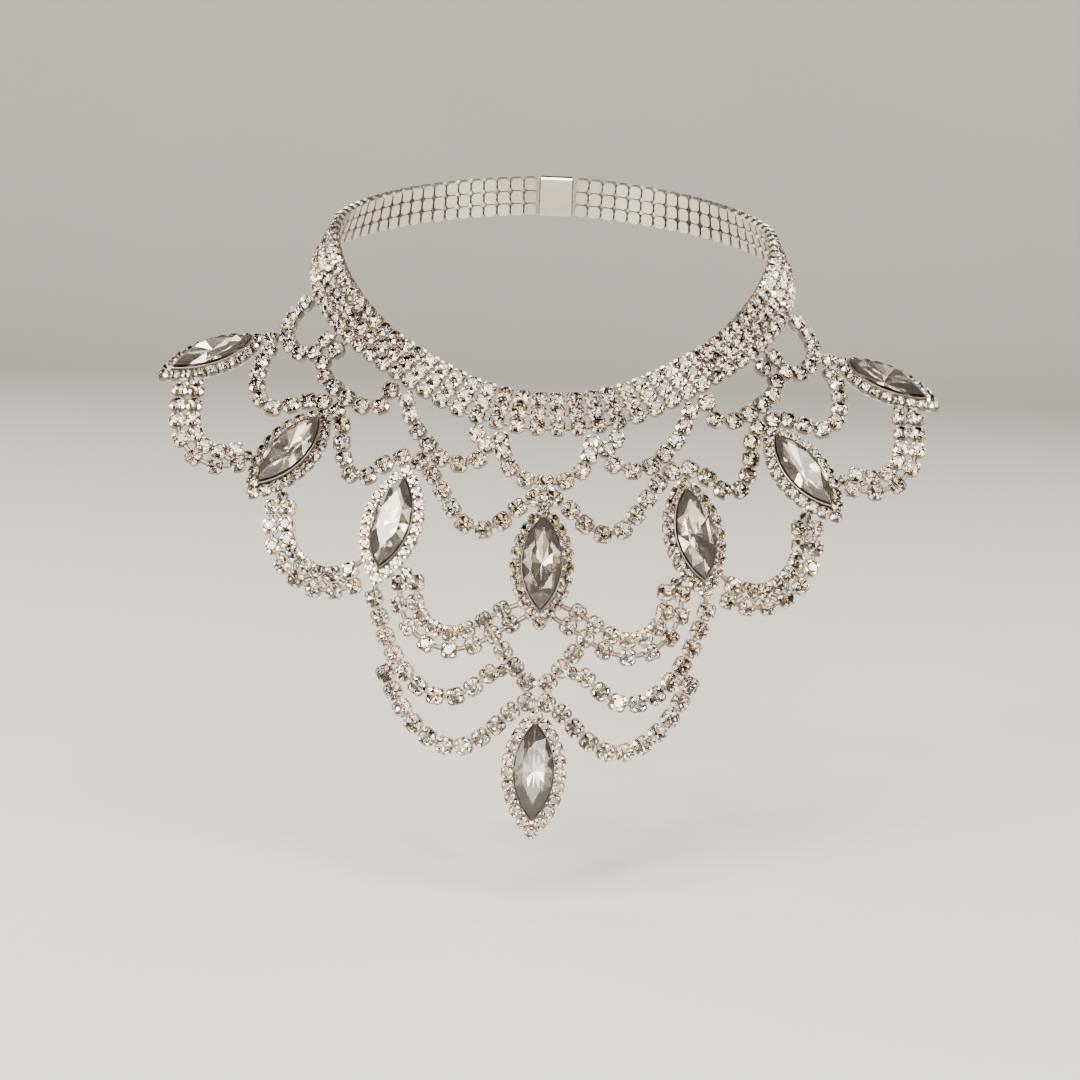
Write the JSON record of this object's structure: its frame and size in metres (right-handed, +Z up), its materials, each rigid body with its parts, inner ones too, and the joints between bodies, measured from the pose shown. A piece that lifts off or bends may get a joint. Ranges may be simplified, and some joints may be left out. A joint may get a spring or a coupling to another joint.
{
  "type": "bib necklace",
  "caption": "Bib necklace of cup-set round crystals: a three-row collar with scallops, swags and drapes that carry pointed oval crystals in small-stone halos.",
  "frame": {"origin": "middle of the neck opening, level with the collar's top edge at the front", "axes": "+X to the right of the front view, -Y out of the necklace's front, +Z up as worn"},
  "size_m": [0.1754, 0.1452, 0.1405],
  "materials": {
    "silver_plate": "polished silver plate",
    "crystal": "clear foil-backed crystal",
    "cup_chain": "silver-plated cups with clear crystals"
  },
  "bodies": {
    "root": {"clasp": "silver_plate", "collar": "silver_plate", "double_0_1_left": "cup_chain", "double_0_1_right": "cup_chain", "double_1_2_left": "cup_chain", "double_1_2_right": "cup_chain", "double_2_3_left": "cup_chain", "double_2_3_right": "cup_chain", "lower_drape_left": "cup_chain", "lower_drape_right": "cup_chain", "navette_setting_1_left": "silver_plate", "navette_setting_1_right": "silver_plate", "navette_setting_2_left": "silver_plate", "navette_setting_2_right": "silver_plate", "navette_setting_3_left": "silver_plate", "navette_setting_3_right": "silver_plate", "navette_setting_center": "silver_plate", "navette_setting_pendant": "silver_plate", "navette_stone_1_left": "crystal", "navette_stone_1_right": "crystal", "navette_stone_2_left": "crystal", "navette_stone_2_right": "crystal", "navette_stone_3_left": "crystal", "navette_stone_3_right": "crystal", "navette_stone_center": "crystal", "navette_stone_pendant": "crystal", "scallop_1_left": "cup_chain", "scallop_1_right": "cup_chain", "scallop_2_left": "cup_chain", "scallop_2_right": "cup_chain", "scallop_3_left": "cup_chain", "scallop_3_right": "cup_chain", "scallop_center": "cup_chain", "side_drape_left": "cup_chain", "side_drape_right": "cup_chain", "swag_0_1_left": "cup_chain", "swag_0_1_right": "cup_chain", "swag_1_2_left": "cup_chain", "swag_1_2_right": "cup_chain", "swag_2_3_left": "cup_chain", "swag_2_3_right": "cup_chain", "v_arm_left": "cup_chain", "v_arm_right": "cup_chain"}
  },
  "joints": []
}
